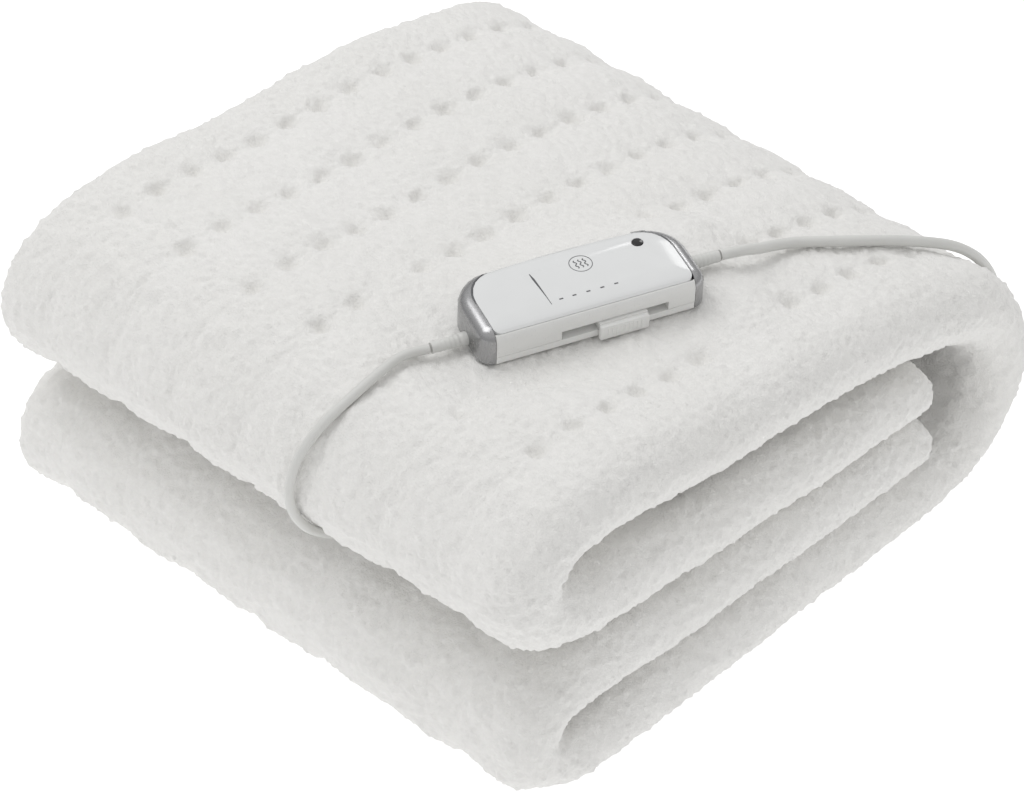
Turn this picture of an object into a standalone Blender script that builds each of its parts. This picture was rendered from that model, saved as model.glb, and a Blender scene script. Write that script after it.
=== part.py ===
"""An electric heated underblanket, folded for storage, with its slide-switch handset and both leads.

The blanket is laid out 1500 x 800 mm.  It is folded in half across its width (the fold is at +X, the
hems at -X), its two ends are turned in to the middle, and the whole is closed like a book.
Metres, +Z up.  X runs along the folded width, Y along the stack, and the stack stands on z = 0.
"""
import math

import bpy
import numpy as np
from mathutils import Matrix, Vector

# ---------------------------------------------------------------- blanket (metres)
FOLDED_WIDTH = 0.400          # 800 mm of cloth folded in half
SLIT = 0.002                  # between the two layers of the doubled cloth
HEM_ROUND = 0.006             # rounding of the hemmed edges
END_HEM_LENGTH = 0.006        # the doubled cloth rounds off over this length at its short ends
END_HEM_THINNER = 0.010
FOLD_ARC_STEPS = 7            # facets round the lengthwise fold at +X

# The doubled cloth seen from its end: the middle of its thickness at each turn and run.
# quilted is 1 where the side with the stitched pits faces outwards.
FOLDS = (
    # place                          y       z  thickness quilted
    ("upper end, inside",        0.118,  0.1015, 0.036, 0),
    ("upper inner run, back",    0.064,  0.1045, 0.038, 0),
    ("upper inner run, middle",  0.007,  0.108,  0.040, 0),
    ("upper inner run, front",  -0.061,  0.113,  0.041, 0),
    ("upper inner run, turn",   -0.129,  0.120,  0.043, 0),
    ("upper bulge, below",      -0.163,  0.124,  0.043, 1),
    ("upper bulge, low",        -0.188,  0.135,  0.043, 1),
    ("upper bulge, nose",       -0.195,  0.153,  0.043, 1),
    ("upper bulge, high",       -0.184,  0.172,  0.043, 1),
    ("upper bulge, above",      -0.157,  0.181,  0.044, 1),
    ("top, front",              -0.110,  0.179,  0.044, 1),
    ("top, under the handset",  -0.055,  0.170,  0.044, 1),
    ("top, middle",              0.010,  0.165,  0.044, 1),
    ("top, back",                0.075,  0.155,  0.044, 1),
    ("outer turn, start",        0.130,  0.142,  0.044, 1),
    ("outer turn, shoulder",     0.166,  0.127,  0.044, 1),
    ("outer turn, high",         0.189,  0.103,  0.044, 1),
    ("outer turn, nose",         0.1945, 0.072,  0.044, 1),
    ("outer turn, low",          0.182,  0.042,  0.044, 1),
    ("outer turn, end",          0.152,  0.024,  0.044, 0),
    ("bottom, back",             0.110,  0.022,  0.044, 0),
    ("bottom, middle",           0.000,  0.022,  0.044, 0),
    ("bottom, front",           -0.100,  0.022,  0.044, 0),
    ("lower bulge, start",      -0.164,  0.022,  0.041, 0),
    ("lower bulge, low",        -0.1865, 0.0292, 0.040, 1),
    ("lower bulge, nose",       -0.1945, 0.0470, 0.040, 1),
    ("lower bulge, high",       -0.1865, 0.0648, 0.040, 1),
    ("lower bulge, above",      -0.164,  0.0725, 0.041, 1),
    ("lower inner run, turn",   -0.118,  0.0715, 0.042, 0),
    ("lower inner run, front",  -0.061,  0.0675, 0.041, 0),
    ("lower inner run, middle",  0.007,  0.066,  0.040, 0),
    ("lower inner run, back",    0.064,  0.0645, 0.038, 0),
    ("lower end, inside",        0.122,  0.0635, 0.036, 0),
)

PIT_PITCH = 0.0248            # stitched pits along a row
PLAIN_STEP = 0.030            # loft sections where no pits show
ROW_FIRST = -0.1594           # x of the first row of pits
ROW_SPACING = 0.0515
ROW_COUNT = 7
PIT_HALF_WIDTH = 0.007
PIT_DEPTH = 0.0035
CHANNEL_DEPTH = 0.0012        # the soft trough that a row of stitches draws in

HEM_END_TILT = 0.08           # the top runs straighter towards the hems at -X
HEM_END_RISE = 0.008
UNDERSIDE_PRESS = 0.0025      # cloth nearer the ground than this is pressed flat on it

# ---------------------------------------------------------------- handset (metres, in its own frame)
# Its x runs along it towards the mains lead, y from the switch side to the back, z up from its base.
HANDSET_PLACE = (0.0786, -0.0452, 0.1922)
HANDSET_YAW = math.radians(22.8)      # its length is turned from +Y towards +X
HANDSET_PITCH = math.radians(0.5)
HANDSET_ROLL = math.radians(5.0)      # its back lies higher than its switch side
HANDSET_LENGTH = 0.130
HANDSET_WIDTH = 0.052
FRONT_CORNER = 0.009
BACK_CORNER = 0.022
BACK_BOW = 0.0015
CORNER_STEPS = 6
BED_MARGIN = 0.015            # the pile is pressed flat this far round the handset
BED_FADE = 0.034
BED_GAP = 0.0008

# The housing's outline is drawn in by `inset` at each height.
HOUSING_LEVELS = (
    # z        inset
    (0.0000, 0.0022),
    (0.0022, 0.0000),
    (0.0160, 0.0000),
    (0.0195, 0.0014),
    (0.0213, 0.0038),
    (0.0222, 0.0065),
    (0.0226, 0.0150),
)
PARTING = 0.0062              # base below, cover above
GAP = 0.0003                  # between pieces that touch
PANEL_HALF_LENGTH = 0.0572
PANEL_FRONT = -0.0235
PANEL_BACK = 0.0222
PANEL_CORNER = 0.0205
PANEL_FLOOR = 0.0186
CAP_INNER_X = 0.042           # the end caps reach this far in along the back corners

SLOT_LEFT = -0.0200           # the switch's slot in the front side
SLOT_RIGHT = 0.0415
SLOT_TOP = 0.0118
SLOT_DEPTH = 0.011
THUMB_LEFT = 0.0005           # the thumb piece as it stands
THUMB_RIGHT = 0.0290
THUMB_LOW = 0.0012
THUMB_HIGH = 0.0105
THUMB_PROUD = 0.0040
SLIDE_CLEARANCE = 0.0005

LENS_PLACE = (0.0405, 0.0120)
LENS_RADIUS = 0.0030
LENS_PROUD = 0.0004
LENS_DEPTH = 0.002            # it is let into the cover this deep
PANEL_FRONT_CORNER = 0.004
PANEL_ROOM = 0.002            # the cover is cut away this far round the panel
SWITCH_FOOT_PROUD = 0.0015
SWITCH_FOOT_SHORT = 0.002     # its foot ends this far before the slot's floor
SWITCH_EDGE = 0.0012
PAST = 0.05                   # cutters reach this far past what they cut

# ---------------------------------------------------------------- leads (metres)
MAINS_RADIUS = 0.0031
BLANKET_LEAD_RADIUS = 0.00275
ROUTE_STEP = 2.5              # diameters between the points of a lead's tube
RELIEF_LENGTH = 0.020
RELIEF_SEAT = 0.0025          # how deep a relief sits in its end cap
RELIEF_HEIGHT = 0.0054        # above the handset's base
MAINS_EXIT_Y = 0.0030         # across the handset, in its own frame
BLANKET_EXIT_Y = -0.0050
RELIEF_SPREAD = 0.0010        # how much wider a relief is at its root than its lead
RELIEF_TIP = 0.0003           # and at its tip
RELIEF_COLLAR = 0.003         # its root keeps its full width this far out
RELIEF_SIDES = 16

# From the handset's far end over the outer turn, down behind the stack and along the ground.
MAINS_ROUTE = (
    (0.1096, 0.0351, 0.1986),
    (0.1126, 0.0422, 0.1983),
    (0.1148, 0.0500, 0.1967),
    (0.1151, 0.0600, 0.1922),
    (0.1142, 0.0705, 0.1874),
    (0.1146, 0.0812, 0.1833),
    (0.1173, 0.0920, 0.1802),
    (0.1230, 0.1022, 0.1779),
    (0.1295, 0.1145, 0.1748),
    (0.1360, 0.1290, 0.1706),
    (0.1420, 0.1435, 0.1658),
    (0.1472, 0.1570, 0.1606),
    (0.1515, 0.1690, 0.1553),
    (0.1553, 0.1810, 0.1489),
    (0.1585, 0.1925, 0.1404),
    (0.1608, 0.2040, 0.1285),
    (0.1620, 0.2142, 0.1130),
    (0.1622, 0.2208, 0.0945),
    (0.1610, 0.2236, 0.0750),
    (0.1582, 0.2246, 0.0565),
    (0.1525, 0.2252, 0.0395),
    (0.1430, 0.2256, 0.0248),
    (0.1295, 0.2257, 0.0133),
    (0.1125, 0.2254, 0.0064),
    (0.0935, 0.2248, 0.0036),
    (0.0730, 0.2241, 0.0034),
    (0.0520, 0.2234, 0.0034),
    (0.0300, 0.2226, 0.0034),
    (0.0077, 0.2218, 0.0034),
)
# From the handset's near end over the upper bulge and into the groove between the layers.
BLANKET_LEAD_ROUTE = (
    (0.0502, -0.1268, 0.1964),
    (0.0480, -0.1324, 0.1968),
    (0.0472, -0.1410, 0.1990),
    (0.0484, -0.1515, 0.2010),
    (0.0497, -0.1620, 0.2012),
    (0.0495, -0.1725, 0.1990),
    (0.0478, -0.1830, 0.1944),
    (0.0456, -0.1940, 0.1887),
    (0.0431, -0.2050, 0.1803),
    (0.0405, -0.2125, 0.1698),
    (0.0392, -0.2170, 0.1587),
    (0.0390, -0.2190, 0.1470),
    (0.0398, -0.2174, 0.1352),
    (0.0408, -0.2117, 0.1238),
    (0.0417, -0.2024, 0.1136),
    (0.0424, -0.1895, 0.1050),
    (0.0428, -0.1740, 0.0990),
    (0.0430, -0.1560, 0.0959),
    (0.0430, -0.1390, 0.0945),
)

COIL_CENTRE = (-0.0150, 0.2620)
COIL_MID_RADIUS = 0.0340
COIL_TURNS_WIDE = 3
COIL_TURNS_HIGH = 2
COIL_SIDES = 28
COIL_CORNER = 0.8             # of a lead's radius

# The plug lies flat beside the coil and points along -X.
PLUG_X = -0.0640              # where the lead enters its sleeve
PLUG_Y = 0.2218
PLUG_WIDTH = 0.0353
PLUG_THICKNESS = 0.0137
PLUG_BODY_LENGTH = 0.0230
PLUG_SLEEVE_LENGTH = 0.0170
PIN_RADIUS = 0.0020
PIN_LENGTH = 0.0190
PIN_SPACING = 0.0186
PIN_SIDES = 14
PLUG_SIDES = 20
PLUG_FLATNESS = 0.55          # 1 would be an oval plug, 0 a slab
PLUG_STAGES = (
    # from the sleeve's mouth                    half width              half thickness
    (0.0,                                        0.0042,                 0.0042),
    (PLUG_SLEEVE_LENGTH * 0.75,                  0.0056,                 0.0052),
    (PLUG_SLEEVE_LENGTH,                         0.0095,                 0.0062),
    (PLUG_SLEEVE_LENGTH + 0.006,                 PLUG_WIDTH * 0.44,      PLUG_THICKNESS / 2),
    (PLUG_SLEEVE_LENGTH + PLUG_BODY_LENGTH - 0.004, PLUG_WIDTH / 2,      PLUG_THICKNESS / 2),
    (PLUG_SLEEVE_LENGTH + PLUG_BODY_LENGTH - 0.001, PLUG_WIDTH / 2,      PLUG_THICKNESS / 2),
    (PLUG_SLEEVE_LENGTH + PLUG_BODY_LENGTH,      PLUG_WIDTH / 2 - 0.001, PLUG_THICKNESS / 2 - 0.001),
)
LEAD_OUT_ROUTE = (
    (-0.0377, 0.2218, 0.0094),
    (-0.0450, 0.2218, 0.0088),
    (-0.0540, 0.2218, 0.0075),
    (-0.0636, 0.2218, 0.0069),
)

# ---------------------------------------------------------------- colours
FLEECE_WHITE = (0.80, 0.79, 0.76, 1.0)
ABS_WHITE = (0.78, 0.78, 0.77, 1.0)
PANEL_WHITE = (0.72, 0.73, 0.73, 1.0)
SATIN_SILVER = (0.55, 0.55, 0.55, 1.0)
LENS_DARK = (0.03, 0.03, 0.03, 1.0)
LEAD_GREY = (0.62, 0.63, 0.62, 1.0)
PLATED_PIN = (0.70, 0.70, 0.68, 1.0)


# ---------------------------------------------------------------- common tools
def clear_scene():
    for thing in list(bpy.data.objects):
        bpy.data.objects.remove(thing, do_unlink=True)


def new_collection(name):
    group = bpy.data.collections.new(name)
    bpy.context.scene.collection.children.link(group)
    return group


def finish_material(name, colour, roughness, metallic=0.0):
    material = bpy.data.materials.new(name)
    material.use_nodes = True
    shader = material.node_tree.nodes["Principled BSDF"]
    shader.inputs["Base Color"].default_value = colour
    shader.inputs["Roughness"].default_value = roughness
    shader.inputs["Metallic"].default_value = metallic
    return material


def smooth_curve(rows, width):
    """Finely spaced rows on a natural cubic spline; the first `width` columns are the place."""
    rows = np.array(rows, dtype=float)
    chord = np.linalg.norm(np.diff(rows[:, :width], axis=0), axis=1)
    knots = np.concatenate(([0.0], np.cumsum(np.sqrt(chord))))
    gap = np.diff(knots)
    count = len(knots)
    system = np.eye(count)
    slope_change = np.zeros_like(rows)
    for i in range(1, count - 1):
        system[i, i - 1:i + 2] = gap[i - 1], 2 * (gap[i - 1] + gap[i]), gap[i]
        slope_change[i] = 6 * ((rows[i + 1] - rows[i]) / gap[i] - (rows[i] - rows[i - 1]) / gap[i - 1])
    bend = np.linalg.solve(system, slope_change)
    fine = []
    for i in range(count - 1):
        for b in np.linspace(0.0, 1.0, 40, endpoint=False):
            a = 1 - b
            pull = ((a ** 3 - a) * bend[i] + (b ** 3 - b) * bend[i + 1]) * gap[i] ** 2 / 6
            fine.append(a * rows[i] + b * rows[i + 1] + pull)
    fine.append(rows[-1])
    fine = np.array(fine)
    steps = np.linalg.norm(np.diff(fine[:, :width], axis=0), axis=1)
    return np.concatenate(([0.0], np.cumsum(steps))), fine


def at_length(length, fine, where):
    """The row of a smooth curve at one length along it."""
    return np.array([np.interp(where, length, fine[:, k]) for k in range(fine.shape[1])])


def mesh_object(name, points, faces, group, material=None):
    mesh = bpy.data.meshes.new(name)
    mesh.from_pydata([tuple(p) for p in points], [], faces)
    mesh.validate()
    thing = bpy.data.objects.new(name, mesh)
    group.objects.link(thing)
    if material:
        mesh.materials.append(material)
    return thing


def loft(name, rings, group, material=None):
    """Closed rings of equal count joined into one solid with flat ends."""
    count = len(rings[0])
    points = [point for ring in rings for point in ring]
    faces = []
    for r in range(len(rings) - 1):
        for k in range(count):
            nxt = (k + 1) % count
            faces.append((r * count + k, r * count + nxt, (r + 1) * count + nxt, (r + 1) * count + k))
    faces.append(tuple(range(count))[::-1])
    faces.append(tuple((len(rings) - 1) * count + k for k in range(count)))
    return mesh_object(name, points, faces, group, material)


# ---------------------------------------------------------------- the handset's frame
def handset_matrix():
    along = Vector((math.sin(HANDSET_YAW) * math.cos(HANDSET_PITCH),
                    math.cos(HANDSET_YAW) * math.cos(HANDSET_PITCH),
                    math.sin(HANDSET_PITCH)))
    across = Vector((-math.cos(HANDSET_YAW), math.sin(HANDSET_YAW), 0.0))
    across = (across - along * along.dot(across)).normalized()
    up = along.cross(across)
    across, up = (across * math.cos(HANDSET_ROLL) + up * math.sin(HANDSET_ROLL),
                  up * math.cos(HANDSET_ROLL) - across * math.sin(HANDSET_ROLL))
    matrix = Matrix.Translation(HANDSET_PLACE)
    for k, axis in enumerate((along, across, up)):
        for row in range(3):
            matrix[row][k] = axis[row]
    return matrix


# ---------------------------------------------------------------- the blanket
def row_places():
    return [ROW_FIRST + k * ROW_SPACING for k in range(ROW_COUNT)]


def cloth_profile(thickness, quilted, pitted):
    """One section across the doubled cloth: (x, offset from its middle), round both layers."""
    half = thickness / 2
    edge = -FOLDED_WIDTH / 2
    fold_x = FOLDED_WIDTH / 2 - half
    shape = [(edge + HEM_ROUND, half)]
    for row in row_places():
        channel = half - quilted * CHANNEL_DEPTH
        shape.append((row - PIT_HALF_WIDTH, channel))
        shape.append((row, channel - quilted * pitted * PIT_DEPTH))
        shape.append((row + PIT_HALF_WIDTH, channel))
        if row + ROW_SPACING < fold_x:
            shape.append((row + ROW_SPACING / 2, half))
    for k in range(FOLD_ARC_STEPS + 1):
        angle = math.pi / 2 - math.pi * k / FOLD_ARC_STEPS
        shape.append((fold_x + half * math.cos(angle), half * math.sin(angle)))
    for x in (fold_x / 2, 0.0, edge / 2, edge + HEM_ROUND):
        shape.append((x, -half))
    lip = SLIT / 2
    shape.append((edge, HEM_ROUND - half))
    shape.append((edge, -lip - HEM_ROUND / 2))
    for x in (edge + HEM_ROUND / 2, 0.0, fold_x - half / 3):
        shape.append((x, -lip))
    for x in (fold_x - half / 3, 0.0, edge + HEM_ROUND / 2):
        shape.append((x + (lip if x > 0 else 0.0), lip))
    shape.append((edge, lip + HEM_ROUND / 2))
    shape.append((edge, half - HEM_ROUND))
    return shape


def cloth_stations():
    """Places along the folded cloth where a section stands."""
    length, fine = smooth_curve([row[1:] for row in FOLDS], 2)
    total = length[-1]
    places = [0.0, END_HEM_LENGTH]
    while places[-1] < total - END_HEM_LENGTH:
        quilted = at_length(length, fine, places[-1])[3] > 0.5
        places.append(places[-1] + (PIT_PITCH / 2 if quilted else PLAIN_STEP))
    places = [p for p in places if p < total - 2 * END_HEM_LENGTH] + [total - END_HEM_LENGTH, total]
    stations = []
    for number, where in enumerate(places):
        middle = at_length(length, fine, where)
        ahead = at_length(length, fine, min(where + 0.001, total))
        behind = at_length(length, fine, max(where - 0.001, 0.0))
        run = (ahead - behind)[:2]
        run /= np.linalg.norm(run)
        end = where in (places[0], places[-1])
        thickness = middle[2] - (END_HEM_THINNER if end else 0.0)
        quilted = min(max(middle[3], 0.0), 1.0)
        stations.append((middle[0], middle[1], -run[1], run[0], thickness, quilted, number % 2))
    return stations


def settle(x, y, z):
    """The stack is not quite even along x, and its underside is pressed flat."""
    towards_hems = (FOLDED_WIDTH / 2 - x) / FOLDED_WIDTH
    z *= 1 + towards_hems * (HEM_END_TILT * y / 0.2 + HEM_END_RISE)
    return Vector((x, y, 0.0 if z < UNDERSIDE_PRESS else z))


def bed_handset(point, to_handset, from_handset):
    """The cloth under the handset lies against its flat base."""
    local = to_handset @ point
    if abs(local.z) > 0.025:
        return point
    over_x = max(abs(local.x) - HANDSET_LENGTH / 2 - BED_MARGIN, 0.0)
    over_y = max(abs(local.y) - HANDSET_WIDTH / 2 - BED_MARGIN, 0.0)
    away = min(math.hypot(over_x, over_y) / BED_FADE, 1.0)
    press = 1 - away * away * (3 - 2 * away)
    local.z += (-BED_GAP - local.z) * press
    return from_handset @ local


def make_blanket(group):
    from_handset = handset_matrix()
    to_handset = from_handset.inverted()
    rings = []
    for y, z, out_y, out_z, thickness, quilted, pitted in cloth_stations():
        ring = []
        for x, offset in cloth_profile(thickness, quilted, pitted):
            point = settle(x, y + out_y * offset, z + out_z * offset)
            outer = offset > thickness / 2 - 0.006 and out_z > 0.5 and z > 0.13
            ring.append(bed_handset(point, to_handset, from_handset) if outer else point)
        rings.append(ring)
    thing = loft("blanket", rings, group, finish_material("fleece", FLEECE_WHITE, 0.95))
    thing.data.shade_smooth()
    thing.data.set_sharp_from_angle(angle=math.radians(60))
    return thing


# ---------------------------------------------------------------- the handset
def rounded_outline(half_x, front_y, back_y, front_radius, back_radius, bow):
    """Corners anticlockwise from the front left: straight front, bowed back."""
    outline = []
    corners = (
        # centre x               centre y                radius        first angle
        (-half_x + front_radius, front_y + front_radius, front_radius, 180),
        (half_x - front_radius,  front_y + front_radius, front_radius, 270),
        (half_x - back_radius,   back_y - back_radius,   back_radius,    0),
        (-half_x + back_radius,  back_y - back_radius,   back_radius,   90),
    )
    for x, y, radius, first in corners:
        for k in range(CORNER_STEPS + 1):
            angle = math.radians(first + 90 * k / CORNER_STEPS)
            outline.append((x + radius * math.cos(angle), y + radius * math.sin(angle)))
    straight = half_x - back_radius
    bowed = []
    for x, y in outline:
        lift = bow * (1 - (x / straight) ** 2) if y > back_y - 1e-6 and abs(x) < straight else 0.0
        bowed.append((x, y + lift))
    last = 3 * (CORNER_STEPS + 1)
    middle = [(straight * f, back_y + bow * (1 - f * f)) for f in (0.6, 0.2, -0.2, -0.6)]
    return bowed[:last] + middle + bowed[last:]


def housing_ring(height, inset):
    outline = rounded_outline(HANDSET_LENGTH / 2 - inset, -HANDSET_WIDTH / 2 + inset,
                              HANDSET_WIDTH / 2 - BACK_BOW - inset,
                              max(FRONT_CORNER - inset, 0.002), max(BACK_CORNER - inset, 0.004), BACK_BOW)
    return [(x, y, height) for x, y in outline]


def level_inset(height):
    heights = [level[0] for level in HOUSING_LEVELS]
    return float(np.interp(height, heights, [level[1] for level in HOUSING_LEVELS]))


def housing_block(name, low, high, group, material):
    """The housing's rounded form between two heights."""
    inner = [z for z, _ in HOUSING_LEVELS if low < z < high]
    rings = [housing_ring(z, level_inset(z)) for z in [low] + inner + [high]]
    return loft(name, rings, group, material)


def slab(name, outline, low, high, group):
    return loft(name, [[(x, y, z) for x, y in outline] for z in (low, high)], group)


def box(name, low, high, group):
    bpy.ops.mesh.primitive_cube_add(size=1)
    thing = bpy.context.object
    thing.name = name
    for corner in thing.data.vertices:
        for k in range(3):
            corner.co[k] = low[k] + (corner.co[k] + 0.5) * (high[k] - low[k])
    move_to(thing, group)
    return thing


def disc(name, place, radius, low, high, group, sides=24):
    bpy.ops.mesh.primitive_cylinder_add(vertices=sides, radius=radius, depth=high - low,
                                        location=(place[0], place[1], (low + high) / 2))
    thing = bpy.context.object
    thing.name = name
    thing.data.transform(thing.matrix_basis)
    thing.matrix_basis.identity()
    move_to(thing, group)
    return thing


def move_to(thing, group):
    for old in list(thing.users_collection):
        old.objects.unlink(thing)
    group.objects.link(thing)


def as_cutter(thing):
    thing.hide_render = True
    thing.display_type = "WIRE"
    return thing


def boolean(thing, other, operation="DIFFERENCE"):
    modifier = thing.modifiers.new(operation.lower(), "BOOLEAN")
    modifier.operation = operation
    modifier.object = other


def end_core(grow):
    """What the silver end caps leave free: the plan form of the top panel, open to the front."""
    return rounded_outline(PANEL_HALF_LENGTH + grow, -HANDSET_WIDTH / 2 - PAST, PANEL_BACK + grow,
                           PANEL_FRONT_CORNER, PANEL_CORNER + grow, 0.0)


def cap_space(side, grow, group):
    """The room of one end cap, as a cutter."""
    x_in = side * (CAP_INNER_X - grow)
    x_out = side * (HANDSET_LENGTH / 2 + PAST)
    space = box("cap_space", (min(x_in, x_out), -PAST, -PAST / 2), (max(x_in, x_out), PAST, PAST), group)
    core = slab("cap_core", end_core(-grow), -PAST, 2 * PAST, group)
    boolean(space, as_cutter(core))
    return as_cutter(space)


def make_handset(group, tools, frame):
    white = finish_material("abs_white", ABS_WHITE, 0.35)
    panel_white = finish_material("panel_white", PANEL_WHITE, 0.3)
    silver = finish_material("satin_silver", SATIN_SILVER, 0.3, 1.0)
    full_height = HOUSING_LEVELS[-1][0]

    base = housing_block("handset_base", 0.0, PARTING - GAP / 2, group, white)
    cover = housing_block("handset_cover", PARTING + GAP / 2, full_height, group, white)
    panel = housing_block("top_panel", 0.0, full_height, group, panel_white)
    rooms = [cap_space(side, GAP, tools) for side in (-1, 1)]
    for piece in (base, cover):
        for room in rooms:
            boolean(piece, room)
    plan = rounded_outline(PANEL_HALF_LENGTH - GAP, PANEL_FRONT, PANEL_BACK - GAP, PANEL_FRONT_CORNER,
                           PANEL_CORNER - GAP, 0.0)
    boolean(panel, as_cutter(slab("panel_plan", plan, PANEL_FLOOR, PAST, tools)), "INTERSECT")
    wide = rounded_outline(PANEL_HALF_LENGTH + PANEL_ROOM, PANEL_FRONT - GAP, PANEL_BACK,
                           PANEL_FRONT_CORNER + GAP, PANEL_CORNER + PANEL_ROOM, 0.0)
    boolean(cover, as_cutter(slab("panel_room", wide, PANEL_FLOOR - GAP, PAST, tools)))
    pocket = box("switch_pocket", (SLOT_LEFT, -PAST, -PAST),
                 (SLOT_RIGHT, SLOT_DEPTH - HANDSET_WIDTH / 2, SLOT_TOP), tools)
    boolean(cover, as_cutter(pocket))
    well = disc("lens_well", LENS_PLACE, LENS_RADIUS + GAP, PANEL_FLOOR - LENS_DEPTH, PAST, tools)
    boolean(cover, as_cutter(well))
    boolean(panel, well)
    lens = disc("indicator_lens", LENS_PLACE, LENS_RADIUS, PANEL_FLOOR - LENS_DEPTH + GAP,
                full_height + LENS_PROUD, group)
    lens.data.materials.append(finish_material("lens_dark", LENS_DARK, 0.15))

    caps = []
    for side, name, across, lead_radius in ((-1, "end_cap_left", BLANKET_EXIT_Y, BLANKET_LEAD_RADIUS),
                                            (1, "end_cap_right", MAINS_EXIT_Y, MAINS_RADIUS)):
        cap = housing_block(name, 0.0, full_height, group, silver)
        boolean(cap, cap_space(side, 0.0, tools), "INTERSECT")
        seat = disc("relief_seat", (0.0, 0.0), lead_radius + RELIEF_SPREAD + GAP,
                    HANDSET_LENGTH / 2 - RELIEF_SEAT - GAP, HANDSET_LENGTH / 2 + PAST, tools)
        seat.data.transform(Matrix.Translation((0.0, across, RELIEF_HEIGHT))
                            @ Matrix.Rotation(side * math.pi / 2, 4, "Y"))
        boolean(cap, as_cutter(seat))
        caps.append(cap)

    pieces = [base, cover, panel, lens] + caps
    for piece in pieces:
        piece.matrix_world = frame
    for tool in tools.objects:
        tool.matrix_world = frame
    return pieces


def make_switch(group, tools, frame):
    """The sliding thumb piece with the foot that runs in the slot."""
    face = -HANDSET_WIDTH / 2
    foot = box("thumb_foot", (THUMB_LEFT + SLIDE_CLEARANCE, face - SWITCH_FOOT_PROUD, PARTING + SLIDE_CLEARANCE),
               (THUMB_RIGHT - SLIDE_CLEARANCE, face + SLOT_DEPTH - SWITCH_FOOT_SHORT, SLOT_TOP - SLIDE_CLEARANCE), tools)
    thumb = box("switch_slider", (THUMB_LEFT, face - THUMB_PROUD, THUMB_LOW),
                (THUMB_RIGHT, face - SLIDE_CLEARANCE, THUMB_HIGH), group)
    edge = thumb.modifiers.new("edges", "BEVEL")
    edge.width = SWITCH_EDGE
    edge.segments = 2
    thumb.data.materials.append(finish_material("switch_white", ABS_WHITE, 0.35))
    boolean(thumb, as_cutter(foot), "UNION")
    foot.matrix_world = frame
    thumb.matrix_world = frame
    return thumb


# ---------------------------------------------------------------- leads, coil and plug
def lead_tube(name, route, radius, group, material):
    """A round lead on a smooth curve through its route."""
    length, fine = smooth_curve(route, 3)
    count = int(math.ceil(length[-1] / (ROUTE_STEP * 2 * radius))) + 1
    curve = bpy.data.curves.new(name, "CURVE")
    curve.dimensions = "3D"
    curve.bevel_depth = radius
    curve.bevel_resolution = 2
    curve.use_fill_caps = True
    spline = curve.splines.new("POLY")
    spline.points.add(count - 1)
    for k in range(count):
        spline.points[k].co = (*at_length(length, fine, length[-1] * k / (count - 1)), 1.0)
    curve.materials.append(material)
    thing = bpy.data.objects.new(name, curve)
    group.objects.link(thing)
    return thing


def turned(name, profile, sides, group, material):
    """A profile of (radius, height) points turned round Z."""
    mesh = bpy.data.meshes.new(name)
    closed = profile[0][0] > 0
    edges = [(k, k + 1) for k in range(len(profile) - 1)]
    if closed:
        edges.append((len(profile) - 1, 0))
    mesh.from_pydata([(r, 0.0, z) for r, z in profile], edges, [])
    thing = bpy.data.objects.new(name, mesh)
    group.objects.link(thing)
    screw = thing.modifiers.new("turn", "SCREW")
    screw.steps = sides
    screw.render_steps = sides
    screw.use_merge_vertices = True
    screw.merge_threshold = 0.00002
    mesh.materials.append(material)
    return thing


def make_relief(name, side, across, lead_radius, frame, group, material):
    """The tapered sleeve where a lead leaves the handset."""
    face = HANDSET_LENGTH / 2
    root = lead_radius + RELIEF_SPREAD
    tip = lead_radius + RELIEF_TIP
    profile = [(0.0, face + RELIEF_LENGTH), (tip, face + RELIEF_LENGTH), (root, face + RELIEF_COLLAR),
               (root, face - RELIEF_SEAT), (0.0, face - RELIEF_SEAT)]
    thing = turned(name, profile, RELIEF_SIDES, group, material)
    lie_down = Matrix.Rotation(side * math.pi / 2, 4, "Y")
    thing.matrix_world = frame @ Matrix.Translation((0.0, across, RELIEF_HEIGHT)) @ lie_down
    return thing


def make_coil(group, material):
    """The outer shape of the wound lead, lying on the ground."""
    half_width = COIL_TURNS_WIDE * MAINS_RADIUS
    height = COIL_TURNS_HIGH * 2 * MAINS_RADIUS
    inner = COIL_MID_RADIUS - half_width
    outer = COIL_MID_RADIUS + half_width
    soft = MAINS_RADIUS * COIL_CORNER
    profile = [(inner + soft, height), (outer - soft, height), (outer, height - soft), (outer, soft),
               (outer - soft, 0.0), (inner + soft, 0.0), (inner, soft), (inner, height - soft)]
    thing = turned("mains_coil", profile, COIL_SIDES, group, material)
    thing.location = (*COIL_CENTRE, 0.0)
    return thing


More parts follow.
